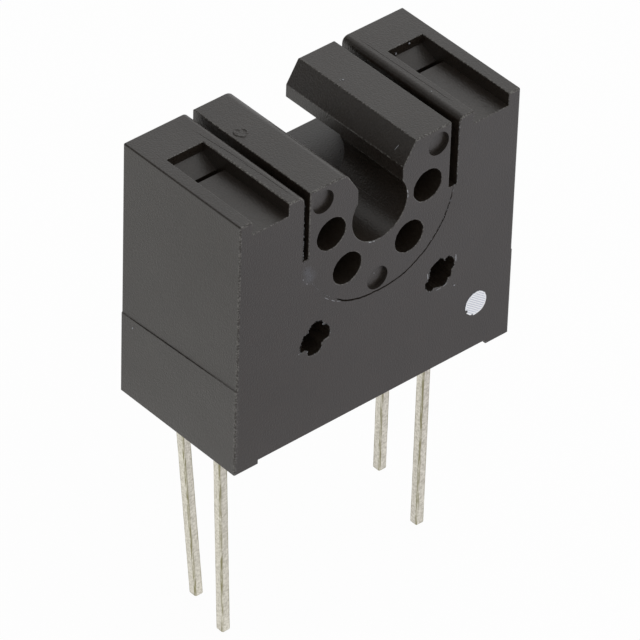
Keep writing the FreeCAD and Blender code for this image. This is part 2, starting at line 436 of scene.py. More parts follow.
@dataclass(frozen=True)
class MouldedPolymer:
    """Black glass-filled polyphenylene sulphide, injection moulded in a spark-eroded tool.

    The body is nearly black and slightly brown, so that its looks come from the sheen of a dense
    polymer. The eroded grain makes the sheen dull and even. The arrises show as a line of pale
    specks: bare filler, and in part a painted highlight along the rounded edges.
    """

    name: str = "black_moulded_polyphenylene_sulphide"
    body: str = "#1b1611"
    warm: str = "#251d16"
    scuff: str = "#5a5e68"
    speck: str = "#63615d"
    ior: float = 1.62
    roughness_low: float = 0.29
    roughness_high: float = 0.37
    grain: float = 0.08  # drawn about three times as coarse as the real grain, so that it shows
    mottle: float = 0.7
    flow: float = 4.0
    relief: float = 0.031
    bump: float = 0.5
    speck_range: Point = (0.44, 0.62)  # of the grain, from no speck to a full one
    speck_most: float = 0.9
    flow_range: Point = (0.2, 0.8)
    speck_share: float = 0.08
    speck_corner: Place = (-7.65, -4.4, 0.0)
    speck_corner_reach: float = 0.22
    speck_corner_heights: Point = (3.5, 6.0)
    speck_corner_shares: Point = (0.9, 0.25)
    scuff_share: float = 0.6
    scuffs: tuple[tuple[float, float, float, float], ...] = (
        (-3.8, -4.4, 8.55, 0.5),
        (-3.95, -4.4, 8.95, 0.35),
    )

    def build(self) -> bpy.types.Material:
        """Makes the finish.

        Returns:
            The material.
        """
        material, tree = new_tree(self.name)
        place = add_node(tree, "ShaderNodeTexCoord")["Object"]
        grain, mottle, flow = (
            add_node(
                tree,
                "ShaderNodeTexNoise",
                {"Vector": place, "Scale": per_mm(size), "Detail": detail},
            )["Fac"]
            for size, detail in ((self.grain, 3.0), (self.mottle, 4.0), (self.flow, 2.0))
        )
        start, full = self.speck_range
        patch_share = add_node(
            tree,
            "ShaderNodeMapRange",
            {"Value": grain, "From Min": start, "From Max": full, "To Max": self.speck_most},
        )[0]
        # On the arrises the pale specks are bare filler and in part a painted highlight along the
        # rounded edges.
        arris_mark = add_node(tree, "ShaderNodeAttribute", attribute_name="arris")["Fac"]
        specks = arris_mark
        for operation, value in (
            ("MAXIMUM", self.corner_specks(tree, place)),
            ("MAXIMUM", self.speck_share),
            ("MULTIPLY", patch_share),
        ):
            specks = add_node(tree, "ShaderNodeMath", {0: specks, 1: value}, operation=operation)[0]
        layers = [(mottle, self.warm), (specks, self.speck)]
        layers += [(self.scuffed(tree, place, grain, spot), self.scuff) for spot in self.scuffs]
        colour = linear(self.body)
        for share, code in layers:
            colour = add_node(
                tree, "ShaderNodeMix", {0: share, 6: colour, 7: linear(code)}, data_type="RGBA"
            )[2]
        low, high = self.flow_range
        roughness = add_node(
            tree,
            "ShaderNodeMapRange",
            {
                "Value": flow,
                "From Min": low,
                "From Max": high,
                "To Min": self.roughness_low,
                "To Max": self.roughness_high,
            },
            interpolation_type="SMOOTHSTEP",
        )[0]
        looks = {"Base Color": colour, "Roughness": roughness, "IOR": self.ior}
        close_finish(tree, grain, self.relief, self.bump, looks)
        return material

    def scuffed(
        self,
        tree: bpy.types.NodeTree,
        place: bpy.types.NodeSocket,
        grain: bpy.types.NodeSocket,
        spot: tuple[float, float, float, float],
    ) -> bpy.types.NodeSocket:
        """Lays a pale scuff, which catches on the grain.

        Args:
            tree: The material's node tree.
            place: The place on the part.
            grain: The grain of the surface.
            spot: The middle of the scuff and its reach, in mm.

        Returns:
            How scuffed the place is, from 0 to 1.
        """
        *middle, reach = spot
        away = add_node(
            tree,
            "ShaderNodeVectorMath",
            {0: place, 1: tuple(v * MM for v in middle)},
            operation="DISTANCE",
        )["Value"]
        near = add_node(
            tree,
            "ShaderNodeMapRange",
            {"Value": away, "From Max": reach * MM, "To Min": self.scuff_share, "To Max": 0.0},
            interpolation_type="SMOOTHSTEP",
        )[0]
        return add_node(tree, "ShaderNodeMath", {0: near, 1: grain}, operation="MULTIPLY")[0]

    def corner_specks(
        self, tree: bpy.types.NodeTree, place: bpy.types.NodeSocket
    ) -> bpy.types.NodeSocket:
        """Adds pale specks along the left front corner, most at the foot of the housing.

        Args:
            tree: The material's node tree.
            place: The place on the part.

        Returns:
            How many pale specks the place gets, from 0 to 1.
        """
        flat = add_node(tree, "ShaderNodeMapping", {"Vector": place, "Scale": (1.0, 1.0, 0.0)})[0]
        away = add_node(
            tree,
            "ShaderNodeVectorMath",
            {0: flat, 1: tuple(v * MM for v in self.speck_corner)},
            operation="DISTANCE",
        )["Value"]
        height = add_node(tree, "ShaderNodeSeparateXYZ", {0: place})["Z"]
        near, low = (
            add_node(
                tree,
                "ShaderNodeMapRange",
                {
                    "Value": value,
                    "From Min": ends[0] * MM,
                    "From Max": ends[1] * MM,
                    "To Min": shares[0],
                    "To Max": shares[1],
                },
            )[0]
            for value, ends, shares in (
                (away, (0.0, self.speck_corner_reach), (1.0, 0.0)),
                (height, self.speck_corner_heights, self.speck_corner_shares),
            )
        )
        return add_node(tree, "ShaderNodeMath", {0: near, 1: low}, operation="MULTIPLY")[0]


@dataclass(frozen=True)
class TinPlate:
    """Matt tin plate over a stamped copper alloy lead.

    The plating is pale and warm, dull along the rolled faces, with streaks along the lead. On the
    arrises a tan line is painted in patches: painted shade, for the darker reflection that they
    catch.
    """

    name: str = "matt_tin_plate"
    bright: str = "#ebe8dc"
    dull: str = "#bab6a9"
    edge_shade: str = "#9a9676"
    streak: float = 0.06
    stretch: float = 14.0
    grain: float = 0.12
    roughness_low: float = 0.32
    roughness_high: float = 0.5
    relief: float = 0.006
    bump: float = 0.6
    cloud_range: Point = (0.34, 0.76)
    edge_shade_range: Point = (0.38, 0.6)
    dull_range: Point = (0.3, 0.7)
    edge_shade_least: float = 0.12

    def build(self) -> bpy.types.Material:
        """Makes the finish.

        Returns:
            The material.
        """
        material, tree = new_tree(self.name)
        place = add_node(tree, "ShaderNodeTexCoord")["Object"]
        along = add_node(
            tree, "ShaderNodeMapping", {"Vector": place, "Scale": (1.0, 1.0, 1 / self.stretch)}
        )[0]
        streak, cloud = (
            add_node(
                tree,
                "ShaderNodeTexNoise",
                {"Vector": where, "Scale": per_mm(size), "Detail": detail},
            )["Fac"]
            for where, size, detail in ((along, self.streak, 3.0), (place, self.grain, 4.0))
        )
        spread, patchy, roughness = (
            add_node(
                tree,
                "ShaderNodeMapRange",
                {
                    "Value": value,
                    "From Min": ends[0],
                    "From Max": ends[1],
                    "To Min": low,
                    "To Max": high,
                },
            )[0]
            for value, ends, low, high in (
                (cloud, self.cloud_range, 0.0, 1.0),
                (streak, self.edge_shade_range, self.edge_shade_least, 1.0),
                (streak, self.dull_range, self.roughness_low, self.roughness_high),
            )
        )
        # Painted shade: a tan line in patches on the rounded arrises, for the darker reflection
        # that they catch.
        arris_mark = add_node(tree, "ShaderNodeAttribute", attribute_name="arris")["Fac"]
        patch_share = add_node(tree, "ShaderNodeMath", {0: arris_mark, 1: patchy}, operation="MULTIPLY")[0]
        colour = linear(self.bright)
        for share, code in ((spread, self.dull), (patch_share, self.edge_shade)):
            colour = add_node(
                tree, "ShaderNodeMix", {0: share, 6: colour, 7: linear(code)}, data_type="RGBA"
            )[2]
        looks = {"Base Color": colour, "Metallic": 1.0, "Roughness": roughness}
        close_finish(tree, streak, self.relief, self.bump, looks)
        return material


@dataclass(frozen=True)
class Plain:
    """A simple finish: two near colours in a cloud, with a fine bump.

    The ink is a pad-printed white enamel, the package a smooth dark epoxy that passes infrared, the
    chip is polished silicon, and the bond wire is drawn gold.
    """

    name: str
    light: str
    dark: str
    cloud: float
    roughness: float
    relief: float
    metallic: float = 0.0
    ior: float = 1.5
    bump: float = 0.4
    spread: float = 0.15  # of the roughness, either way

    def build(self) -> bpy.types.Material:
        """Makes the finish.

        Returns:
            The material.
        """
        material, tree = new_tree(self.name)
        place = add_node(tree, "ShaderNodeTexCoord")["Object"]
        cloud = add_node(
            tree,
            "ShaderNodeTexNoise",
            {"Vector": place, "Scale": per_mm(self.cloud), "Detail": 3.0},
        )["Fac"]
        colour = add_node(
            tree,
            "ShaderNodeMix",
            {0: cloud, 6: linear(self.light), 7: linear(self.dark)},
            data_type="RGBA",
        )[2]
        low, high = (self.roughness * (1 + share) for share in (-self.spread, self.spread))
        roughness = add_node(
            tree, "ShaderNodeMapRange", {"Value": cloud, "To Min": low, "To Max": high}
        )[0]
        looks = {"Base Color": colour, "Metallic": self.metallic, "Roughness": roughness}
        if not self.metallic:
            looks["IOR"] = self.ior
        close_finish(tree, cloud, self.relief, self.bump, looks)
        return material


WHITE_INK = Plain("pad_printed_white_ink", "#fdfdff", "#f4f6fd", 0.06, 0.55, 0.003)
THIN_INK = Plain("thin_white_ink", "#d0d4e2", "#bfc4d5", 0.08, 0.5, 0.003)
FLASH_AND_GLINT = Plain("torn_polymer_flash_and_painted_glint", "#8b8d92", "#3a3836", 0.08, 0.6, 0.004, ior=1.62)
# The finish of the pale specks, which also paints glints.
SPECK_AND_GLINT = Plain("bare_filler_and_painted_glint", "#bcbec3", "#8a8c92", 0.05, 0.6, 0.002)
DARK_EPOXY = Plain("dark_infrared_epoxy", "#1c181c", "#141014", 0.5, 0.25, 0.002)
SILICON = Plain("polished_silicon", "#8f9098", "#7c7d86", 0.1, 0.12, 0.001, ior=3.4)
GOLD = Plain("drawn_gold_wire", "#f0cf7a", "#dcb55c", 0.03, 0.2, 0.001, metallic=1.0)


# The housing


@dataclass
class FineLine:
    """A scratch or a mould line: a thin groove that wanders a little and fades at its ends."""

    bends: Sequence[Vector]
    out: Vector
    width: float
    depth: float
    seed: float
    fade: float = 0.8
    step: float = 0.09
    wander: float = 0.4  # of the width
    proud: float = 0.02
    least: float = 0.15  # of the depth, at the ends
    waves: float = 0.31  # from one point to the next, in the noise that pushes the line
    chatter: float = 0.43  # the same, for the depth
    chatter_share: float = 0.5

    def path(self) -> list[Vector]:
        """Follows the line.

        Returns:
            Points along it, close together, in mm.
        """
        points: list[Vector] = []
        for start, end in zip(self.bends, self.bends[1:]):
            steps = max(1, round((end - start).length / self.step))
            side = (end - start).normalized().cross(self.out)
            for k in range(steps):
                here = start.lerp(end, k / steps)
                push = noise.noise(Vector((len(points) * self.waves, self.seed, 0.0)))
                points.append(here + side * push * self.width * self.wander)
        points.append(self.bends[-1])
        return points

    def tool(self) -> bpy.types.Object:
        """Makes the wedge that cuts the line.

        Returns:
            The wedge, in mm.
        """
        points = self.path()
        loops = []
        for k, here in enumerate(points):
            run = points[min(k + 1, len(points) - 1)] - points[max(k - 1, 0)]
            side = run.normalized().cross(self.out) * self.width / 2
            ends = min(k, len(points) - 1 - k) * self.step
            deep = self.depth * max(self.least, min(1.0, ends / self.fade))
            rough = noise.noise(Vector((k * self.chatter, self.seed, 5.0)))
            deep *= 1.0 + self.chatter_share * rough
            rise = self.out * self.proud
            loops.append([here + side + rise, here - self.out * deep, here - side + rise])
        return loft("tool", loops)


@dataclass
class Housing:
    """The one-piece moulding: block, feet, clip, slits, troughs, core-outs and pockets."""

    half_width: float = 7.62
    half_skirt: float = 7.66
    height: float = 12.9
    front: float = -4.4
    back: float = 3.0
    foot_width: float = 1.27
    foot_height: float = 0.2
    corner_radius: float = 0.08
    inner_arris: float = 0.45  # share of the outer arris
    crisp_zone: float = 0.1  # from the top arris at the sides
    crisp_pale_share: float = 0.1
    least_angle: float = 25.0
    rim_wear: float = 0.02
    core_nick: float = 0.16
    cross_nick: float = 0.1
    skirt_back: float = 4.13
    skirt_front: float = 4.44
    seam_run: Point = (2.4, -2.7)
    seam_width: float = 0.045
    seam_depth: float = 0.05
    seam_zone: Point = (3.9, 4.6)
    seam_out: float = 0.025  # over the side
    seam_up: float = 0.02  # over the skirt
    line_width: float = 0.1
    line_depth: float = 0.12
    line_reach: float = 0.07
    line_turns: tuple[Point, ...] = (
        *((-10.9, 4.10), (-20, 4.15), (-29.5, 4.18), (-47.7, 4.24), (-69.4, 4.28)),
        *((-91, 4.22), (-104, 4.26), (-116.5, 4.28), (-130, 4.16)),
    )
    scratch_width: float = 0.035
    scratch_depth: float = 0.03
    scratches: tuple[tuple[Point, ...], ...] = (
        ((-4.84, 1.90), (-4.69, 0.02), (-4.58, -1.60)),
        ((-4.70, -0.80), (-4.60, -2.30), (-4.57, -4.10)),
        ((4.67, 2.40), (4.68, 0.84), (4.77, -3.48)),
    )

    insert_shift: float = -0.045
    channel_radius: float = 1.5
    channel_height: float = 10.24
    neck: float = 1.22
    neck_top: float = 11.82
    mouth: float = 1.88
    lip_radius: float = 0.5
    lip_low: float = 11.1
    lip_reach: float = 2.3
    left_lip: Point = (-2.5, -1.2)
    rise_from: float = 12.2

    clip_half: float = 4.2
    slit_left: Point = (3.90, 4.20)
    slit_right: Point = (3.79, 4.23)
    slit_depth: float = 3.38
    tower_edge: float = 0.3
    crown_zone: Point = (4.15, 4.55)
    beam_window: float = 1.9
    beam_window_depth: float = 3.45

    core_radius: float = 0.775
    core_depth: float = 3.2
    core_side: float = 2.63
    core_low: float = 1.70
    core_drop: float = 2.21
    cross_x: float = 3.44
    cross_height: float = 5.17
    cross_left: tuple[Point, ...] = (
        *((0.48, 0.63), (0.38, 0.78), (0.2, 0.85), (0.06, 0.86), (-0.22, 0.75)),
        *((-0.33, 0.57), (-0.38, 0.43), (-0.59, 0.4), (-0.67, 0.17), (-0.79, -0.11)),
        *((-0.77, -0.35), (-0.63, -0.44), (-0.49, -0.39), (-0.36, -0.5), (-0.31, -0.79)),
        *((-0.03, -0.85), (0.25, -0.82), (0.41, -0.67), (0.43, -0.42), (0.57, -0.34)),
        *((0.8, -0.29), (0.88, -0.08), (0.82, 0.26), (0.7, 0.44), (0.54, 0.5)),
    )
    cross_right: tuple[Point, ...] = (
        *((0.23, 0.73), (0.07, 0.81), (-0.21, 0.68), (-0.4, 0.57), (-0.56, 0.38)),
        *((-0.52, 0.08), (-0.58, -0.05), (-0.74, -0.17), (-0.72, -0.42), (-0.58, -0.62)),
        *((-0.44, -0.72), (-0.31, -0.7), (-0.24, -0.61), (0.07, -0.73), (0.34, -0.77)),
        *((0.5, -0.66), (0.55, -0.46), (0.71, -0.44), (0.74, -0.27), (0.71, -0.13)),
        *((0.87, 0.02), (0.86, 0.35), (0.76, 0.55), (0.57, 0.71), (0.43, 0.69), (0.3, 0.57)),
    )
    ejector_radius: float = 0.56
    ejector_depth: float = 0.21
    ejector_arm: float = 3.14
    ejector_drop: float = 0.77
    ejector_low: float = 6.70
    ejector_near: float = 0.02

    pocket_inner: float = 5.03
    pocket_outer: float = 6.97
    pocket_half: float = 2.25
    pocket_roof: float = 11.65
    groove_reach: float = 0.45
    groove_half: float = 0.80
    aperture_half: float = 0.45
    aperture_rise: float = 0.75
    trough_depth: float = 0.63
    trough_back: float = 1.02
    window_length: float = 1.39
    tongue_root: float = 12.42
    tongue_tip: float = 12.0
    tongue_under: float = 11.7
    tongue_reach: float = 0.90
    tongue_bite: float = 0.1
    tongue_rise: float = 0.047  # over the bite, along the tongue's slope

    gate_place: Point = (-3.42, 0.50)

    def skirt_top(self, y: float) -> float:
        """Returns the height of the skirt, which falls a little towards the back."""
        slope = (self.skirt_back - self.skirt_front) / (self.back - self.front)
        return self.skirt_front + slope * (y - self.front)

    def block(self) -> bpy.types.Object:
        """Makes the block with its slightly wider skirt.

        Returns:
            The block, in mm.
        """
        loops = []
        for y in (self.front, self.back):
            top = self.skirt_top(y)
            ledge = top + self.half_skirt - self.half_width
            side = [(self.half_skirt, 0.0), (self.half_skirt, top), (self.half_width, ledge)]
            side.append((self.half_width, self.height))
            outline = side + [(-x, z) for x, z in reversed(side)]
            loops.append([Vector((x, y, z)) for x, z in outline])
        return loft("housing_moulding", loops)

    def clip_outline(self) -> Outline:
        """Draws the channel, its neck and the mouth above it.

        Returns:
            The outline, anticlockwise from the right of the neck.
        """
        above = 2 * self.height - self.neck_top
        outer = 2 * self.mouth - self.neck
        start = math.degrees(math.acos(self.neck / self.channel_radius))
        middle = (0.0, self.channel_height)
        round_part = arc(middle, self.channel_radius, start, -180 - start, 84)
        left_mouth = (-self.mouth, self.height)
        left_neck = (-self.neck, self.neck_top)
        lip = rounded_corner(
            (-self.neck, self.channel_height), left_neck, left_mouth, self.lip_radius
        )
        rim = rounded_corner(
            left_neck, left_mouth, (-self.clip_half, self.height), self.lip_radius
        )
        top = [(rim[-1][0], above), (outer, above)]
        points = [(self.neck, self.neck_top)] + round_part + lip + rim + top
        return [(x + self.insert_shift, z) for x, z in points]

    def slit_outline(self, side: Side) -> Outline:
        """Draws a slit, with the tower's rounded edge above it.

        Args:
            side: Which slit.

        Returns:
            The outline.
        """
        arm, tower = self.slit_left if side is Side.LEFT else self.slit_right
        bottom = self.height - self.slit_depth
        above = self.height + PAST
        edge = self.tower_edge
        crown = arc((tower + edge, self.height - edge), edge, 180, 90, 8)
        points = [(arm, bottom), (tower, bottom)]
        points += crown + [(tower + edge, above), (arm, above)]
        return [(side.value * x, z) for x, z in points]

    def cross_outline(self, side: Side) -> Outline:
        """Draws the worn outline of a cross.

        Args:
            side: Which cross.

        Returns:
            The outline.
        """
        middle = side.value * self.cross_x
        rim = self.cross_left if side is Side.LEFT else self.cross_right
        clean = [(middle + u, self.cross_height + v) for u, v in rim]
        return ragged(clean, self.rim_wear, self.cross_nick, side.value * 3.0)

    def front_cuts(self) -> list[bpy.types.Object]:
        """Makes the tools for the clip, the slits and the blind holes of the front face.

        Returns:
            The tools, in mm.
        """
        through = (self.front - PAST, self.back + PAST)
        tools = [prism(self.clip_outline(), through, Axis.Y)]
        tools += [prism(self.slit_outline(side), through, Axis.Y) for side in Side]
        deep = (self.front - PAST, self.front + self.core_depth)
        centres = [
            (self.core_side, self.channel_height),
            (self.core_low, self.channel_height - self.core_drop),
        ]
        for side in Side:
            for x, z in centres:
                hole = circle(self.core_radius, (self.insert_shift + side.value * x, z))
                rim = ragged(hole, self.rim_wear, self.core_nick, x * side.value)
                tools.append(prism(rim, deep, Axis.Y))
            tools.append(prism(self.cross_outline(side), deep, Axis.Y))
        shallow = (self.front - PAST, self.front + self.ejector_depth)
        for place in self.ejector_marks():
            tools.append(prism(circle(self.ejector_radius, place, 48), shallow, Axis.Y))
        return tools

    def ejector_marks(self) -> Outline:
        """Places the three round ejector marks.

        Returns:
            Their middles on the front face.
        """
        arm_z = self.height - self.ejector_drop
        marks = [(-self.ejector_arm, arm_z), (self.ejector_arm, arm_z), (0.0, self.ejector_low)]
        return [(self.insert_shift + x, z) for x, z in marks]

    def on_ejector_rim(self, x: float, z: float) -> bool:
        """Tells whether a place lies on the crisp rim of an ejector mark.

        Args:
            x: Place to the right, in mm.
            z: Height, in mm.

        Returns:
            True on the rim or close to it.
        """
        reaches = [math.dist((x, z), middle) for middle in self.ejector_marks()]
        return min(abs(reach - self.ejector_radius) for reach in reaches) < self.ejector_near

    def inner_cuts(self) -> list[bpy.types.Object]:
        """Makes the tools for the beam windows, troughs, pockets, grooves and feet.

        Returns:
            The tools, in mm.
        """
        half = self.beam_window / 2
        window = (self.channel_height - half, self.channel_height + half)
        reach = (self.back - self.beam_window_depth, self.back + PAST)
        tools = [prism(box_outline(reach, window), (-self.clip_half, self.clip_half), Axis.X)]
        inner = self.half_width - self.foot_width
        gap = box_outline((-inner, inner), (-PAST, self.foot_height))
        tools.append(prism(gap, (self.front - PAST, self.back + PAST), Axis.Y))
        floor = self.height - self.trough_depth
        trough = (self.front - PAST, self.trough_back)
        opening = (self.trough_back - self.window_length, self.trough_back)
        pocket = (-self.pocket_half, self.pocket_half)
        groove = (-self.groove_half, self.groove_half)
        slot = (-self.aperture_half, self.aperture_half)
        low, high = (self.channel_height + v for v in (-self.aperture_rise, self.aperture_rise))
        for side in Side:
            inside, outside = (side.value * v for v in (self.pocket_inner, self.pocket_outer))
            deep = side.value * (self.pocket_inner - self.groove_reach)
            wall = side.value * (self.clip_half - TINY)
            for ys, zs in (
                (trough, (floor, self.height + PAST)),
                (opening, (self.pocket_roof - TINY, floor + TINY)),
                (pocket, (-PAST, self.pocket_roof)),
            ):
                tools.append(prism(box_outline(ys, zs), (inside, outside), Axis.X))
            shaft = box_outline(groove, (-PAST, self.channel_height))
            tools.append(prism(shaft, (deep, inside), Axis.X))
            end = circle(self.groove_half, (0.0, self.channel_height), 40)
            tools.append(prism(end, (deep, inside), Axis.X))
            tools.append(prism(box_outline(slot, (low, high)), (wall, deep), Axis.X))
        return tools

    def tongues(self) -> list[bpy.types.Object]:
        """Makes the sloping tongue of each trough window.

        Returns:
            The tongues, in mm, which bite a little into the walls.
        """
        tip, root = self.trough_back - self.tongue_reach, self.trough_back + self.tongue_bite
        outline = [
            (root, self.tongue_root + self.tongue_rise),
            (root, self.tongue_under),
            (tip, self.tongue_under),
            (tip, self.tongue_tip),
        ]
        near, far = self.pocket_inner - self.tongue_bite, self.pocket_outer + self.tongue_bite
        return [prism(outline, (side.value * near, side.value * far), Axis.X) for side in Side]

    def planes(self, place: Vector, near: float = 0.01) -> set[str]:
        """Names the outer faces that a corner lies on.

        Args:
            place: The corner, in mm.
            near: How near to a face it has to be.

        Returns:
            The names, and "lip" for a corner in the mouth of the clip.
        """
        x, y, z = place
        tests = {
            "front": y < self.front + near,
            "back": y > self.back - near,
            "top": z > self.height - near,
            "bottom": z < self.foot_height + near,
            "side": abs(x) > self.half_width - near,
            "lip": z > self.lip_low and abs(x) < self.lip_reach,
        }
        return {name for name, met in tests.items() if met}

    def edge_share(self, first: Vector, last: Vector) -> float:
        """Tells how much of the rounding an arris gets.

        Args:
            first: Where the arris starts, in mm.
            last: Where it ends.

        Returns:
            1 for an outer arris, less for an inner one, and 0 for one that stays crisp.
        """
        shared = self.planes(first) & self.planes(last)
        x, z = (first.x + last.x) / 2, (first.z + last.z) / 2
        on_seam = self.seam_zone[0] < z < self.seam_zone[1] and "side" in shared
        if on_seam and not shared & {"front", "back"}:
            return 0.0
        if self.on_ejector_rim(x, z):
            return 0.0
        outer = shared & {"front", "back", "top", "side"}
        (near, far), (left, right) = self.crown_zone, self.left_lip
        if len(outer) == 1 and (near < abs(x) < far or left < x < right):
            rise = max(0.0, (z - self.rise_from) / (self.height - self.rise_from))
            return self.inner_arris + (1.0 - self.inner_arris) * rise
        if len(outer) >= 2:
            return 1.0
        return self.inner_arris if shared else 0.0

    def weigh_arrises(self, piece: bpy.types.Object) -> None:
        """Gives each arris the share of the rounding that it gets.

        Args:
            piece: The sharp moulding, in mm.
        """
        cut = [p for line in self.fine_lines() for p in line.path()]
        cuts = kdtree.KDTree(len(cut))
        for k, point in enumerate(cut):
            cuts.insert(point, k)
        cuts.balance()
        form = bmesh.new()
        form.from_mesh(piece.data)
        weights = form.edges.layers.float.new("bevel_weight_edge")
        for edge in form.edges:
            flat = edge.calc_face_angle(0) < math.radians(self.least_angle)
            ends = [v.co for v in edge.verts]
            if flat or all(cuts.find(end)[2] < self.line_reach for end in ends):
                continue
            edge[weights] = self.edge_share(*ends)
        form.to_mesh(piece.data)
        form.free()

    def round_arrises(self, piece: bpy.types.Object) -> None:
        """Rounds the arrises and marks their faces for the finish.

        Args:
            piece: The sharp moulding, in mm.
        """
        give_arris_slots(piece)
        self.weigh_arrises(piece)
        rounding = piece.modifiers.new("arrises", "BEVEL")
        rounding.limit_method = "WEIGHT"
        rounding.width = self.corner_radius
        rounding.segments = 3
        rounding.use_clamp_overlap = False
        rounding.material = 1
        settle(piece)

    def arris_pale_share(self, place: Vector) -> float:
        """Returns how much of the pale specks, in part a painted highlight, an arris gets: the top
        ones at the sides get few and stay crisp and dark.
        """
        near = self.crisp_zone
        top_side = abs(place.x) > self.half_width - near and place.z > self.height - near
        return self.crisp_pale_share if top_side else 1.0

    def fine_lines(self) -> list[FineLine]:
        """Draws the line round the mould insert, the scratches on the towers and the side seams.

        Returns:
            The lines.
        """
        bends = []
        for (a, r), (b, q) in zip(self.line_turns, self.line_turns[1:]):
            steps = max(1, round((a - b) / 4))
            for k in range(steps):
                angle = math.radians(a + (b - a) * k / steps)
                reach = r + (q - r) * k / steps
                z = self.channel_height + reach * math.sin(angle)
                bends.append(Vector((reach * math.cos(angle), self.front, z)))
        front, top = Vector((0, -1, 0)), Vector((0, 0, 1))
        lines = [FineLine(bends, front, self.line_width, self.line_depth, 3.1)]
        for seed, track in enumerate(self.scratches):
            places = [Vector((x, y, self.height)) for x, y in track]
            lines.append(FineLine(places, top, self.scratch_width, self.scratch_depth, seed))
        for side in Side:
            x = side.value * (self.half_width + self.seam_out)
            places = [Vector((x, y, self.skirt_top(y) + self.seam_up)) for y in self.seam_run]
            out = Vector((side.value, 0, 0))
            lines.append(FineLine(places, out, self.seam_width, self.seam_depth, x, fade=1.6))
        return lines

    def build(self) -> bpy.types.Object:
        """Makes the finished moulding, with its arrises marked.

        Returns:
            The moulding, in mm.
        """
        piece = self.block()
        work(piece, self.front_cuts() + self.inner_cuts(), Cut.AWAY)
        work(piece, self.tongues(), Cut.JOIN)
        work(piece, [line.tool() for line in self.fine_lines()], Cut.AWAY)
        self.round_arrises(piece)
        mark_arrises(piece, self.arris_pale_share)
        smooth_flats(piece)
        return piece


@dataclass
class GateMark:
    """The rough spot on the left clip arm where the runner was snapped off."""

    place: Point = (-3.42, 0.50)
    top: float = 12.9
    radius: float = 0.34
    relief: float = 0.05
    rings: int = 11
    spokes: int = 40
    wander: float = 0.22  # of the radius
    tears: float = 11.0  # in a mm
    rim_at: float = 0.78
    rim_spread: float = 0.16
    let_in: float = 0.02
    rim_even: float = 0.7  # of the relief
    rim_torn: float = 0.9
    floor_end: float = 0.7  # of the radius
    floor_torn: float = 0.5
    least: float = 0.002
    middle: float = 0.004

    def mound(self, x: float, y: float, share: float) -> float:
        """Tells how high the torn plastic stands.

        Args:
            x: Place to the right, in mm.
            y: Place to the back, in mm.
            share: How far out it is, from 0 in the middle to 1 at the edge.

        Returns:
            The height over the arm, in mm.
        """
        tear = noise.noise(Vector((x * self.tears, y * self.tears, 1.3)))
        rim = math.exp(-(((share - self.rim_at) / self.rim_spread) ** 2))
        floor = self.floor_torn * tear * (share < self.floor_end)
        return self.relief * (rim * (self.rim_even + self.rim_torn * tear) + floor)

    def build(self) -> bpy.types.Object:
        """Makes the spot, a low, torn mound let into the arm.

        Returns:
            The spot, in mm.
        """
        form = bmesh.new()
        centre = form.verts.new((*self.place, self.top + self.middle))
        previous: list[bmesh.types.BMVert] = []
        for ring in range(1, self.rings + 1):
            share = ring / self.rings
            row = []
            for k in range(self.spokes):
                angle = 2 * math.pi * k / self.spokes
                push = noise.noise(Vector((math.cos(angle), math.sin(angle), 7.0)))
                reach = self.radius * share * (1.0 + self.wander * push)
                x = self.place[0] + reach * math.cos(angle)
                y = self.place[1] + reach * math.sin(angle)
                height = max(self.mound(x, y, share), self.least)
                if ring == self.rings:
                    height = -self.let_in
                row.append(form.verts.new((x, y, self.top + height)))
            for k in range(self.spokes):
                j = (k + 1) % self.spokes
                if previous:
                    form.faces.new((previous[k], row[k], row[j], previous[j]))
                else:
                    form.faces.new((centre, row[k], row[j]))
            previous = row
        form.faces.new(reversed(previous))
        piece = object_of("gate_mark", form)
        piece.data.shade_smooth()
        return piece


# Geometry Nodes trees


def new_group(
    name: str, given: dict[str, str], made: str
) -> tuple[bpy.types.NodeTree, bpy.types.NodeOutputs]:
    """Starts a Geometry Nodes tree.

    Args:
        name: The tree's name.
        given: Its inputs, each with its kind.
        made: The name of the shape that it makes.

    Returns:
        The tree and its inputs, to be linked.
    """
    tree = bpy.data.node_groups.new(name, "GeometryNodeTree")
    for label, kind in given.items():
        tree.interface.new_socket(label, in_out="INPUT", socket_type=f"NodeSocket{kind}")
    tree.interface.new_socket(made, in_out="OUTPUT", socket_type="NodeSocketGeometry")
    return tree, add_node(tree, "NodeGroupInput")


def close_group(
    tree: bpy.types.NodeTree, shape: bpy.types.NodeSocket, material: bpy.types.Material
) -> None:
    """Ends a tree: the shape's instances are made real and dressed.

    Args:
        tree: The tree.
        shape: The shape that it makes.
        material: The finish.
    """
    real = add_node(tree, "GeometryNodeRealizeInstances", {0: shape})[0]
    dressed = add_node(tree, "GeometryNodeSetMaterial", {"Geometry": real, "Material": material})
    add_node(tree, "NodeGroupOutput", {0: dressed[0]})


def run_group(
    piece: bpy.types.Object, tree: bpy.types.NodeTree, values: dict[str, Any]
) -> None:
    """Runs a tree on a piece, with its inputs set by the identifiers of their sockets.

    Args:
        piece: The object, which gets the shape as its mesh.
        tree: The tree.
        values: What its inputs are.
    """
    step = piece.modifiers.new(tree.name, "NODES")
    step.node_group = tree
    for item in tree.interface.items_tree:
        if item.name in values and item.in_out == "INPUT":
            step[item.identifier] = values[item.name]
    settle(piece)


# What follows the rims


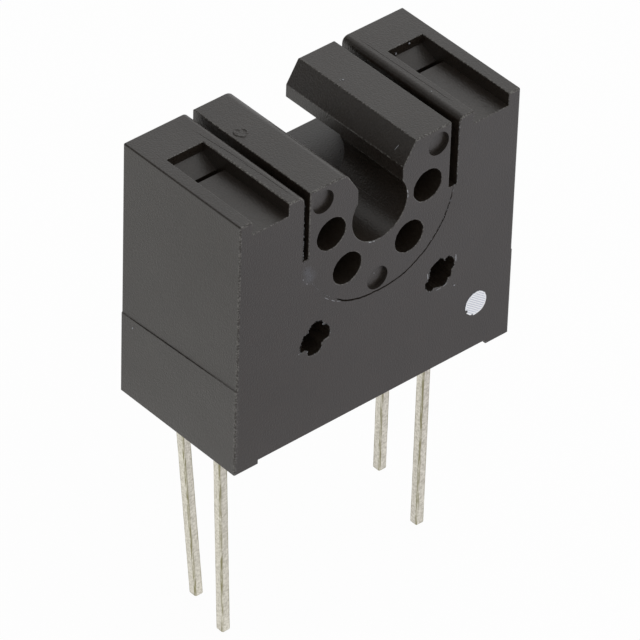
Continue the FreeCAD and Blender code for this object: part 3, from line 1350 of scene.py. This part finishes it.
@dataclass
class RimFlashAndGlints:
    """Flecks of flash that the cores and the mould insert left along the rims; on the channel's rim
    the flecks are painted highlights.
    """

    housing: Housing
    spacing: float = 0.05
    size: float = 0.028
    keep: float = 0.35
    seed: int = 5
    turns: float = 6.28
    least: Place = (0.35, 0.25, 0.5)
    most: Place = (1.0, 0.6, 1.6)
    runs: tuple[Place, ...] = (  # radius round the channel, first and last angle
        *((4.16, -176, -128), (4.2, -52, -9)),
        # painted highlights: flecks along the channel's rim, to the right and at the bottom
        *((1.53, -22, 2), (1.53, -112, -70)),
    )

    def paths(self) -> bpy.types.Object:
        """Lays the rims along which the flash stands, as chains of edges.

        Returns:
            The chains, in mm.
        """
        h = self.housing
        rims = []
        for side in Side:
            rims.append((h.cross_outline(side), True))
            x = side.value * (h.slit_left if side is Side.LEFT else h.slit_right)[1]
            ends = (h.height - h.slit_depth, h.height - h.tower_edge)
            rims.append(([(x, z) for z in ends], False))
        middle = (h.insert_shift, h.channel_height)
        rims += [(arc(middle, radius, start, end, 30), False) for radius, start, end in self.runs]
        form = bmesh.new()
        for rim, closed in rims:
            verts = [form.verts.new((x, h.front, z)) for x, z in rim]
            for a, b in zip(verts, verts[1:] + verts[:1] * closed):
                form.edges.new((a, b))
        return object_of("rim_flash_and_glints", form)

    def tree(self, material: bpy.types.Material) -> bpy.types.NodeTree:
        """Makes the tree that sets flecks at random places along the rims.

        Args:
            material: The finish of the flecks.

        Returns:
            The tree.
        """
        kinds = {"Rims": "Geometry", "Spacing": "Float", "Fleck size": "Float"}
        kinds |= {"Share kept": "Float", "Seed": "Int"}
        tree, given = new_group("flecks_along_rims", kinds, "Flecks")
        seed = given["Seed"]
        rims = add_node(tree, "GeometryNodeMeshToCurve", {"Mesh": given["Rims"]})[0]
        spots = add_node(
            tree,
            "GeometryNodeResampleCurve",
            {"Curve": rims, "Length": given["Spacing"]},
            mode="LENGTH",
        )[0]
        kept = add_node(
            tree,
            "FunctionNodeRandomValue",
            {"Probability": given["Share kept"], "Seed": seed},
            data_type="BOOLEAN",
        )[3]
        turn, swell = (
            add_node(
                tree,
                "FunctionNodeRandomValue",
                {0: low, 1: high, "Seed": seed},
                data_type="FLOAT_VECTOR",
            )[0]
            for low, high in (((0.0,) * 3, (self.turns,) * 3), (self.least, self.most))
        )
        fleck = add_node(
            tree,
            "GeometryNodeMeshIcoSphere",
            {"Radius": given["Fleck size"], "Subdivisions": 1},
        )[0]
        placed = add_node(
            tree,
            "GeometryNodeInstanceOnPoints",
            {
                "Points": spots,
                "Selection": kept,
                "Instance": fleck,
                "Rotation": turn,
                "Scale": swell,
            },
        )[0]
        close_group(tree, placed, material)
        return tree

    def build(self, material: bpy.types.Material) -> bpy.types.Object:
        """Makes the flecks.

        Args:
            material: Their finish.

        Returns:
            The flecks, in mm.
        """
        piece = self.paths()
        values = {"Spacing": self.spacing, "Fleck size": self.size}
        values |= {"Share kept": self.keep, "Seed": self.seed}
        run_group(piece, self.tree(material), values)
        return piece


@dataclass
class PaleSpecksAndGlints:
    """The few pale specks of bare filler that lie alone on the faces, and pale specks and slivers
    that paint glints: painted highlights on the channel's rim and on the back wall of the right
    trough.
    """

    spots: tuple[tuple[float, float, float, float], ...] = (
        (-2.985, -4.4, 5.72, 0.03),
        (2.236, 0.637, 12.9, 0.045),
        (2.12, 0.70, 12.9, 0.03),
        (-0.241, -4.4, 7.036, 0.03),
        (-7.66, 2.197, 3.787, 0.045),
        (4.55, -2.26, 12.9, 0.035),
        (4.35, -4.4, 4.152, 0.045),
        (-4.168, -4.4, 8.596, 0.03),
        (-3.941, -4.4, 8.278, 0.025),
        (-4.27, -4.4, 4.76, 0.02),
        # painted highlights: two glints on the back wall of the right trough
        (5.502, 1.01, 12.537, 0.05),
        (6.246, 1.01, 12.740, 0.035),
    )
    slivers: tuple[tuple[Place, Place, float], ...] = (
        ((4.37, -4.4, 5.79), (4.38, -4.4, 5.38), 0.022),
        ((2.79, -4.4, 5.52), (2.83, -4.4, 5.19), 0.020),
        ((3.30, -4.4, 4.37), (3.62, -4.4, 4.36), 0.010),
        ((3.70, -4.4, 4.38), (3.93, -4.4, 4.45), 0.012),
        # painted highlights: glints on the channel's rim, to the right and at the bottom
        ((1.44, -4.4, 10.55), (1.475, -4.4, 10.36), 0.022),
        ((1.485, -4.4, 10.30), (1.48, -4.4, 10.12), 0.018),
        ((-0.62, -4.4, 8.80), (-0.44, -4.4, 8.75), 0.02),
        ((-0.38, -4.4, 8.735), (-0.26, -4.4, 8.72), 0.018),
        ((-2.95, -4.4, 7.08), (-2.70, -4.4, 6.86), 0.010),
        ((-2.58, -4.4, 6.77), (-2.36, -4.4, 6.60), 0.012),
        ((-2.28, -4.4, 6.56), (-2.05, -4.4, 6.46), 0.010),
        ((1.37, -3.60, 12.15), (1.53, -3.70, 12.42), 0.008),
    )
    flat: float = 0.5
    turns: float = 6.28

    def build(self) -> bpy.types.Object:
        """Makes the specks and slivers.

        Returns:
            They all, in mm.
        """
        form = bmesh.new()
        for start, end, radius in self.slivers:
            run = Vector(end) - Vector(start)
            place = Matrix.Translation((Vector(start) + Vector(end)) / 2)
            turn = run.to_track_quat("X", "Z").to_matrix().to_4x4()
            shape = Matrix.Diagonal((run.length / 2 / radius, 1.0, 1.0, 1.0))
            bmesh.ops.create_icosphere(
                form, subdivisions=2, radius=radius, matrix=place @ turn @ shape
            )
        for x, y, z, radius in self.spots:
            turn = Matrix.Rotation(random.uniform(0, self.turns), 4, Vector((x, y, z)).normalized())
            shape = Matrix.Diagonal((1.0, self.flat, 1.3, 1.0))
            bmesh.ops.create_icosphere(
                form,
                subdivisions=1,
                radius=radius,
                matrix=Matrix.Translation((x, y, z)) @ turn @ shape,
            )
        return object_of("pale_specks_and_glints", form)


# The ink dot


@dataclass
class InkDot:
    """The pad-printed dot on the front face, with the ridges that its screen left."""

    centre: Point = (5.655, 2.555)
    front: float = -4.4
    radius: float = 0.59
    rim: float = 0.06
    unevenness: float = 0.02
    grain: float = 0.12
    chip_depth: float = 0.1
    nicks: tuple[Place, ...] = ((5.12, 2.33, 0.09), (5.46, 2.0, 0.06))
    film: float = 0.010
    ridge: float = 0.010
    pitch: float = 0.098
    slant: float = -37.0
    share: float = 0.68  # of the pitch that a ridge covers
    bed: float = 0.01  # how deep the film goes into the face
    overlap: float = 0.002
    rim_inset: float = 0.004
    rim_past: float = 0.05
    chord_share: float = 0.93  # of the disc's chord that a ridge covers
    least: float = 0.0001

    def film_disc(self) -> bpy.types.Object:
        """Makes the thin film.

        Returns:
            The film, in mm, with its slightly uneven edge.
        """
        depth = (self.front - self.film, self.front + self.bed)
        film = prism(self.edge(self.radius), depth, Axis.Y)
        self.chip(film)
        film.name = "ink_film"
        return film

    def edge(self, radius: float) -> Outline:
        """Draws the slightly uneven outline of the print.

        Args:
            radius: Its mean radius, in mm.

        Returns:
            The outline.
        """
        clean = circle(radius, self.centre, 60)
        return ragged(clean, self.unevenness, self.grain, 2.0)

    def chip(self, piece: bpy.types.Object) -> None:
        """Takes the little nicks out of the print's edge.

        Args:
            piece: A layer of the print, in mm.
        """
        through = (self.front - self.chip_depth, self.front + self.chip_depth)
        bits = [prism(circle(radius, (x, z), 10), through, Axis.Y) for x, z, radius in self.nicks]
        work(piece, bits, Cut.AWAY)

    def thick_rim(self) -> bpy.types.Object:
        """Makes the thicker ink along the edge.

        Returns:
            The rim, in mm.
        """
        top = self.front - self.film
        low, high = top + self.overlap, top - self.ridge
        rim = prism(self.edge(self.radius - self.rim_inset), (high, low), Axis.Y)
        through = (high - self.rim_past, low + self.rim_past)
        work(rim, [prism(self.edge(self.radius - self.rim), through, Axis.Y)], Cut.AWAY)
        self.chip(rim)
        rim.name = "ink_rim"
        return rim

    def tree(self, material: bpy.types.Material) -> bpy.types.NodeTree:
        """Makes the tree that lays slanted ridges across the film.

        Args:
            material: The finish of the ridges.

        Returns:
            The tree.
        """
        kinds = {"Start": "Geometry"}
        kinds |= dict.fromkeys(("Radius", "Pitch", "Ridge width", "Ridge height"), "Float")
        kinds |= {"Place": "Vector", "Slant": "Float"}
        tree, given = new_group("ridges_of_ink", kinds, "Ridges")
        radius, pitch = given["Radius"], given["Pitch"]
        place = add_node(tree, "GeometryNodeInputPosition")[0]
        across = add_node(tree, "ShaderNodeSeparateXYZ", {0: place})["Z"]
        sums: dict[str, bpy.types.NodeSocket] = {}
        for name, operation, a, b in (
            ("width", "MULTIPLY", radius, 2.0),
            ("fit", "DIVIDE", "width", pitch),
            ("count", "FLOOR", "fit", 0.0),
            ("gaps", "SUBTRACT", "count", 1.0),
            ("half", "MULTIPLY", "gaps", -0.5),
            ("first", "MULTIPLY", "half", pitch),
            ("disc", "POWER", radius, 2.0),
            ("aside", "POWER", across, 2.0),
            ("inside", "SUBTRACT", "disc", "aside"),
            ("some", "MAXIMUM", "inside", self.least),
            ("reach", "SQRT", "some", 0.0),
            ("chord", "MULTIPLY", "reach", 2 * self.chord_share),
            ("thickness", "MULTIPLY", given["Ridge height"], 2.0),
        ):
            terms = {k: sums[v] if isinstance(v, str) else v for k, v in enumerate((a, b))}
            sums[name] = add_node(tree, "ShaderNodeMath", terms, operation=operation)[0]
        start, step, size, turn = (
            add_node(tree, "ShaderNodeCombineXYZ", parts)[0]
            for parts in (
                {"Z": sums["first"]},
                {"Z": pitch},
                {"X": sums["chord"], "Y": sums["thickness"], "Z": given["Ridge width"]},
                {"Y": given["Slant"]},
            )
        )
        line = add_node(
            tree,
            "GeometryNodeMeshLine",
            {"Count": sums["count"], "Start Location": start, "Offset": step},
        )["Mesh"]
        bar = add_node(
            tree,
            "GeometryNodeMeshCylinder",
            {"Vertices": 12, "Radius": 0.5, "Depth": 1.0},
            fill_type="NGON",
        )["Mesh"]
        lying = add_node(
            tree, "GeometryNodeTransform", {"Geometry": bar, "Rotation": (0.0, math.pi / 2, 0.0)}
        )[0]
        laid = add_node(
            tree,
            "GeometryNodeInstanceOnPoints",
            {"Points": line, "Instance": lying, "Scale": size},
        )[0]
        turned = add_node(
            tree,
            "GeometryNodeTransform",
            {"Geometry": laid, "Rotation": turn, "Translation": given["Place"]},
        )[0]
        close_group(tree, turned, material)
        return tree

    def ridges(self, material: bpy.types.Material) -> bpy.types.Object:
        """Makes the ridges.

        Args:
            material: Their finish.

        Returns:
            The ridges, in mm.
        """
        piece = object_of("ink_ridges", bmesh.new())
        values = {
            "Radius": self.radius,
            "Pitch": self.pitch,
            "Ridge width": self.pitch * self.share,
            "Ridge height": self.ridge,
            "Place": (self.centre[0], self.front - self.film, self.centre[1]),
            "Slant": math.radians(-self.slant),
        }
        run_group(piece, self.tree(material), values)
        self.chip(piece)
        return piece


# The leads


@dataclass
class Lead:
    """A stamped lead: square in section, with rounded arrises that carry a painted shade line, and
    a sheared, slightly domed tip.
    """

    node: str
    arris: float = 0.08
    segments: int = 3
    flat_angle: float = 1.0
    arris_angle: float = 30.0
    sharp_angle: float = 60.0

    def build(self) -> bpy.types.Object:
        """Makes the lead from its solid.

        Returns:
            The lead, in mm, with rounded arrises.
        """
        form = bmesh.new()
        form.from_mesh(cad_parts[self.node].data)
        bmesh.ops.scale(form, vec=(1 / MM,) * 3, verts=form.verts)
        bmesh.ops.remove_doubles(form, verts=form.verts, dist=TINY)
        flat = math.radians(self.flat_angle)
        bmesh.ops.dissolve_limit(form, angle_limit=flat, verts=form.verts, edges=form.edges)
        piece = object_of(f"{self.node}_plated", form)
        give_arris_slots(piece)
        rounding = piece.modifiers.new("arrises", "BEVEL")
        rounding.limit_method = "ANGLE"
        rounding.angle_limit = math.radians(self.arris_angle)
        rounding.width = self.arris
        rounding.segments = self.segments
        rounding.material = 1
        settle(piece)
        mark_arrises(piece)
        smooth_flats(piece, self.sharp_angle)
        return piece


# The studio


@dataclass
class Studio:
    """A pale floor under the leads, a white surround, a soft lamp and the photograph's camera."""

    floor_height: float = -11.72
    floor_size: float = 1200.0
    floor_colour: str = "#fafafa"
    # painted reflection: the colours of the floor's glow in the sheen, darker and cooler before the
    # front
    painted_reflection_shades: tuple[tuple[float, str], ...] = (
        (0.3, "#f2f1ee"),
        (0.76, "#d1ced3"),
        (1.0, "#fbf9ff"),
    )
    shade_reach: float = 50.0  # how far to either side the shades run, in mm
    foot: Place = (7.66, 4.4, 0.0)
    # painted reflection: in the sheen the floor glows brighter near the foot
    bounce_reach: Point = (7.0, 13.5)
    bounce_level: float = 1.25
    dim_towards: Place = (-0.62, 0.58, 0.53)
    sky_levels: tuple[tuple[float, float], ...] = (
        (0.0, 0.95),
        (0.34, 0.82),
        (0.65, 0.56),
        (0.90, 0.48),
        (0.935, 0.42),
        (0.975, 0.02),
    )
    shadow: float = 0.04
    # share of the painted reflection that glossy rays see in the floor
    sheen: float = 0.785
    lamp_power: float = 0.03
    lamp_size: float = 260.0
    lamp_place: Place = (215.0, 238.0, 252.0)
    azimuth: float = -42.13
    elevation: float = 38.23
    roll: float = 1.90
    focal_pixels: float = 6492.0
    picture_width: float = 640.0
    sensor: float = 36.0
    unit: float = 12.9
    slide: Place = (-0.01518, -0.13253, 21.297)
    centre_y: float = -0.70

    def camera(self) -> None:
        """Sets the camera at the photograph's place and angle."""
        a, e, r = (math.radians(v) for v in (self.azimuth, self.elevation, self.roll))
        back = Vector((math.sin(a) * math.cos(e), -math.cos(a) * math.cos(e), math.sin(e)))
        level = Vector((0, 0, 1)).cross(back).normalized()
        rise = back.cross(level)
        right = level * math.cos(r) + rise * math.sin(r)
        up = rise * math.cos(r) - level * math.sin(r)
        turn = Matrix((right, up, back)).transposed()
        across, upward, away = self.slide
        place = turn @ Vector((-across, -upward, away)) * self.unit
        place.y += self.centre_y
        data = bpy.data.cameras.new("camera")
        data.sensor_width = self.sensor
        data.lens = self.focal_pixels * self.sensor / self.picture_width
        data.clip_start, data.clip_end = 0.01, 10.0
        camera = bpy.data.objects.new("camera", data)
        camera.matrix_world = Matrix.Translation(place * MM) @ turn.to_4x4()
        bpy.context.scene.collection.objects.link(camera)
        bpy.context.scene.camera = camera

    def floor(self) -> None:
        """Lays the floor, which shows white to the camera but keeps the shadow.

        To glossy rays the floor glows with a painted reflection: a little darker and cooler before
        the front, on the side where the camera stood, and brighter near the foot of the part.
        """
        half = self.floor_size / 2
        form = bmesh.new()
        bmesh.ops.create_grid(form, x_segments=1, y_segments=1, size=half)
        bmesh.ops.translate(form, vec=(0, 0, self.floor_height), verts=form.verts)
        plane = object_of("floor", form)
        plane.data.transform(Matrix.Scale(MM, 4))
        material, tree = new_tree("white_paper")
        surface = add_node(
            tree, "ShaderNodeBsdfDiffuse", {"Color": linear(self.floor_colour)}
        )[0]
        place = add_node(tree, "ShaderNodeTexCoord")["Object"]
        across = add_node(
            tree,
            "ShaderNodeVectorMath",
            {0: place, 1: (1.0, -1.0, 0.0)},
            operation="DOT_PRODUCT",
        )["Value"]
        end = self.shade_reach * MM
        shade = add_node(
            tree, "ShaderNodeMapRange", {"Value": across, "From Min": -end, "From Max": end}
        )["Result"]
        ramp = add_node(tree, "ShaderNodeValToRGB", {"Fac": shade})["Color"]
        set_stops(ramp, [(at, linear(tone)) for at, tone in self.painted_reflection_shades])
        level = self.bounce(tree, place)
        # Painted reflection: glossy rays see this glow in place of the lit paper.
        painted_reflection = add_node(tree, "ShaderNodeEmission", {"Color": ramp, "Strength": level})[0]
        seen = add_node(tree, "ShaderNodeEmission", {"Strength": 1.0})[0]
        path = add_node(tree, "ShaderNodeLightPath")
        for ray, share, shader in (
            ("Is Glossy Ray", self.sheen, painted_reflection),
            ("Is Camera Ray", 1 - self.shadow, seen),
        ):
            part = add_node(
                tree, "ShaderNodeMath", {0: path[ray], 1: share}, operation="MULTIPLY"
            )[0]
            surface = add_node(tree, "ShaderNodeMixShader", {0: part, 1: surface, 2: shader})[0]
        close_tree(tree, surface)
        plane.data.materials.append(material)

    def bounce(self, tree: bpy.types.NodeTree, place: bpy.types.NodeSocket) -> bpy.types.NodeSocket:
        """Tells how bright the paper glows in the sheen by its distance from the foot of the part:
        a painted reflection, brighter near the foot, for the light bounced there.

        Args:
            tree: The floor's node tree.
            place: The place on the floor.

        Returns:
            The strength, 1 away from the part.
        """
        foot = tuple(v * MM for v in self.foot)
        far = add_node(tree, "ShaderNodeVectorMath", {0: place}, operation="ABSOLUTE")[0]
        past = add_node(
            tree, "ShaderNodeVectorMath", {0: far, 1: foot}, operation="SUBTRACT"
        )[0]
        sides = add_node(tree, "ShaderNodeSeparateXYZ", {0: past})
        away = add_node(
            tree, "ShaderNodeMath", {0: sides["X"], 1: sides["Y"]}, operation="MAXIMUM"
        )[0]
        near, clear = self.bounce_reach
        return add_node(
            tree,
            "ShaderNodeMapRange",
            {
                "Value": away,
                "From Min": near * MM,
                "From Max": clear * MM,
                "To Min": self.bounce_level,
                "To Max": 1.0,
            },
        )["Result"]

    def light(self) -> None:
        """Sets the white surround, with its dark spot up at the left back, and the soft lamp."""
        world = bpy.data.worlds.new("surround")
        world.use_nodes = True
        tree = world.node_tree
        tree.nodes.clear()
        ray = add_node(tree, "ShaderNodeTexCoord")["Generated"]
        towards = add_node(
            tree,
            "ShaderNodeVectorMath",
            {0: ray, 1: Vector(self.dim_towards).normalized()},
            operation="DOT_PRODUCT",
        )["Value"]
        level = add_node(tree, "ShaderNodeValToRGB", {"Fac": towards})["Color"]
        set_stops(level, [(at, (grey, grey, grey, 1.0)) for at, grey in self.sky_levels])
        lit = add_node(tree, "ShaderNodeBackground", {"Color": level})[0]
        white = add_node(tree, "ShaderNodeBackground", {"Color": (1.0, 1.0, 1.0, 1.0)})[0]
        seen = add_node(tree, "ShaderNodeLightPath")["Is Camera Ray"]
        sky = add_node(tree, "ShaderNodeMixShader", {0: seen, 1: lit, 2: white})[0]
        add_node(tree, "ShaderNodeOutputWorld", {"Surface": sky})
        bpy.context.scene.world = world
        data = bpy.data.lights.new("soft_lamp", "AREA")
        data.shape = "DISK"
        data.size = self.lamp_size * MM
        data.energy = self.lamp_power
        lamp = bpy.data.objects.new("soft_lamp", data)
        place = Vector(self.lamp_place)
        lamp.location = place * MM
        lamp.rotation_euler = place.to_track_quat("Z", "Y").to_euler()
        bpy.context.scene.collection.objects.link(lamp)


def dress_devices() -> None:
    """Gives the solids inside the towers their finishes."""
    epoxy, silicon, gold = DARK_EPOXY.build(), SILICON.build(), GOLD.build()
    for device in ("emitter", "detector"):
        for part, material in (("package", epoxy), ("chip", silicon), ("bond_wire", gold)):
            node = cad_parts[f"{device}_{part}"]
            node.data.materials.clear()
            node.data.materials.append(material)
            log.info("%s: %s", node.name, material.name)


def main() -> None:
    """Builds the sensor, piece by piece, and the studio round it."""
    logging.basicConfig(level=logging.INFO, format="%(message)s")
    random.seed(1)
    polymer = MouldedPolymer().build()
    ink = WHITE_INK.build()
    tin = TinPlate().build()
    housing = Housing()
    finish_piece(housing.build(), "housing_plastic", polymer, "housing")
    finish_piece(GateMark(place=housing.gate_place).build(), "housing_plastic", polymer)
    # Flecks of flash, and on the channel's rim painted highlights.
    flash_and_glint, filler = FLASH_AND_GLINT.build(), SPECK_AND_GLINT.build()
    finish_piece(RimFlashAndGlints(housing).build(flash_and_glint), "housing_plastic", flash_and_glint)
    # Pale specks of filler, and a few painted highlights as glints.
    finish_piece(PaleSpecksAndGlints().build(), "housing_plastic", filler)
    dot = InkDot()
    finish_piece(dot.film_disc(), "white_ink", THIN_INK.build(), "polarity_dot")
    finish_piece(dot.ridges(ink), "white_ink", ink)
    finish_piece(dot.thick_rim(), "white_ink", ink)
    for name in (
        "emitter_cathode_lead",
        "emitter_anode_lead",
        "detector_collector_lead",
        "detector_emitter_lead",
    ):
        finish_piece(Lead(name).build(), "tinned_lead", tin, name)
    dress_devices()
    studio = Studio()
    studio.floor()
    studio.light()
    studio.camera()
    bpy.context.scene.view_settings.view_transform = "Standard"


if __name__ == "__main__":
    main()
